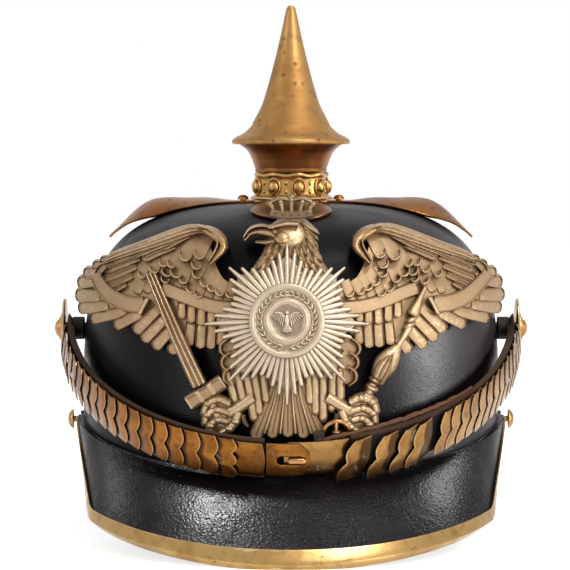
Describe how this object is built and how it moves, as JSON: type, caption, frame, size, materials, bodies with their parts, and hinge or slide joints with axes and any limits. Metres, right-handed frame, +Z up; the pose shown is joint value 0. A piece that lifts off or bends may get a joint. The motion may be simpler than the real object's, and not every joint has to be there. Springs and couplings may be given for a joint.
{
  "type": "spiked leather parade helmet",
  "caption": "Spiked black leather helmet with a front and rear peak, brass cross base, eagle plate with star, and convex chin-scales on side bosses.",
  "frame": {"origin": "on the table under the middle of the helmet's overall box", "axes": "+Z up, the front peak and the eagle plate towards -Y, and -X to the left of someone who looks at the front; nodes named left and right are named as that person sees them"},
  "size_m": [0.208, 0.2952, 0.227],
  "materials": {
    "skull_leather": "black, lacquered and polished",
    "peak_leather": "black, lacquered, finely crazed",
    "peak_lining": "dull dyed leather",
    "edging_brass": "polished, golden",
    "spine_brass": "polished, aged",
    "base_brass": "polished, copper-brown with age",
    "spike_brass": "satin, warm brown-gold",
    "ring_brass": "polished, yellow",
    "eagle_brass": "pale gilt, matte with polished high points",
    "star_brass": "silvered, pale",
    "steel": "plain",
    "liner_leather": "tan, worn",
    "liner_cord": "twisted cord",
    "boss_brass": "polished, aged",
    "strap_leather": "dark brown, dull",
    "loose_leather": "near black with worn red-brown edges",
    "orange_scales": "polished, orange-brown",
    "olive_scales": "polished, olive-brown",
    "buckle_brass": "polished, yellow"
  },
  "bodies": {
    "helmet": {"skull_shell": "skull_leather", "front_peak": "peak_leather", "rear_peak": "peak_leather", "front_peak_lining": "peak_lining", "rear_peak_lining": "peak_lining", "front_peak_trim": "edging_brass", "trim_end_rivets": "edging_brass", "rear_spine": "spine_brass", "rear_spine_studs": "spine_brass", "cross_base": "base_brass", "base_screws": "base_brass", "base_nuts": "steel", "spike_socket": "spike_brass", "socket_nut": "steel", "eagle_plate": "eagle_brass", "eagle_crown": "eagle_brass", "eagle_posts": "eagle_brass", "eagle_post_nuts": "steel", "star_badge": "star_brass", "star_medallion": "star_brass", "sweatband": "liner_leather", "liner_tongues": "liner_leather", "liner_cord": "liner_cord", "left_boss_post": "boss_brass", "right_boss_post": "boss_brass", "left_post_nut": "steel", "right_post_nut": "steel", "left_boss": "boss_brass", "right_boss": "boss_brass"},
    "left_chinscales": {"left_strap_leather": "strap_leather", "left_end_plate": "boss_brass", "left_scales": "orange_scales", "left_front_plate": "orange_scales", "left_slotted_plate": "orange_scales"},
    "right_chinscales": {"right_strap_leather": "strap_leather", "right_end_plate": "boss_brass", "right_scales": "olive_scales", "right_hook_plate": "olive_scales", "hook_stud": "buckle_brass", "loose_strap": "loose_leather", "strap_keeper": "loose_leather", "buckle_frame": "buckle_brass"},
    "buckle_prong": {"buckle_prong": "buckle_brass"},
    "pearl_ring": {"pearl_ring": "ring_brass"},
    "spike": {"spike_cone": "spike_brass", "spike_neck": "spike_brass", "spike_stud": "spike_brass"}
  },
  "joints": [
    {"name": "left_scales_swing", "type": "hinge", "parent": "helmet", "child": "left_chinscales", "pos_m": [0, 0, 0.0855], "axis": [-1, 0, 0], "range_deg": [0, 85]},
    {"name": "right_scales_swing", "type": "hinge", "parent": "helmet", "child": "right_chinscales", "pos_m": [0, 0, 0.0855], "axis": [-1, 0, 0], "range_deg": [0, 85]},
    {"name": "buckle_prong_tilt", "type": "hinge", "parent": "right_chinscales", "child": "buckle_prong", "pos_m": [0.01804, -0.1123, 0.05065], "axis": [0, -0.3567, 0.9342], "range_deg": [0, 60]},
    {"name": "spike_turn", "type": "hinge", "parent": "helmet", "child": "pearl_ring", "pos_m": [0, 0, 0.15], "axis": [0, 0, 1], "range_deg": [0, 1440]},
    {"name": "spike_rise", "type": "slide", "parent": "pearl_ring", "child": "spike", "axis": [0, 0, 1], "range_m": [0, 0.006]}
  ],
  "couplings": [
    {"joint": "left_scales_swing", "follows": "right_scales_swing", "ratio": 1},
    {"joint": "spike_rise", "follows": "spike_turn", "m_per_rad": 0.00023873}
  ]
}
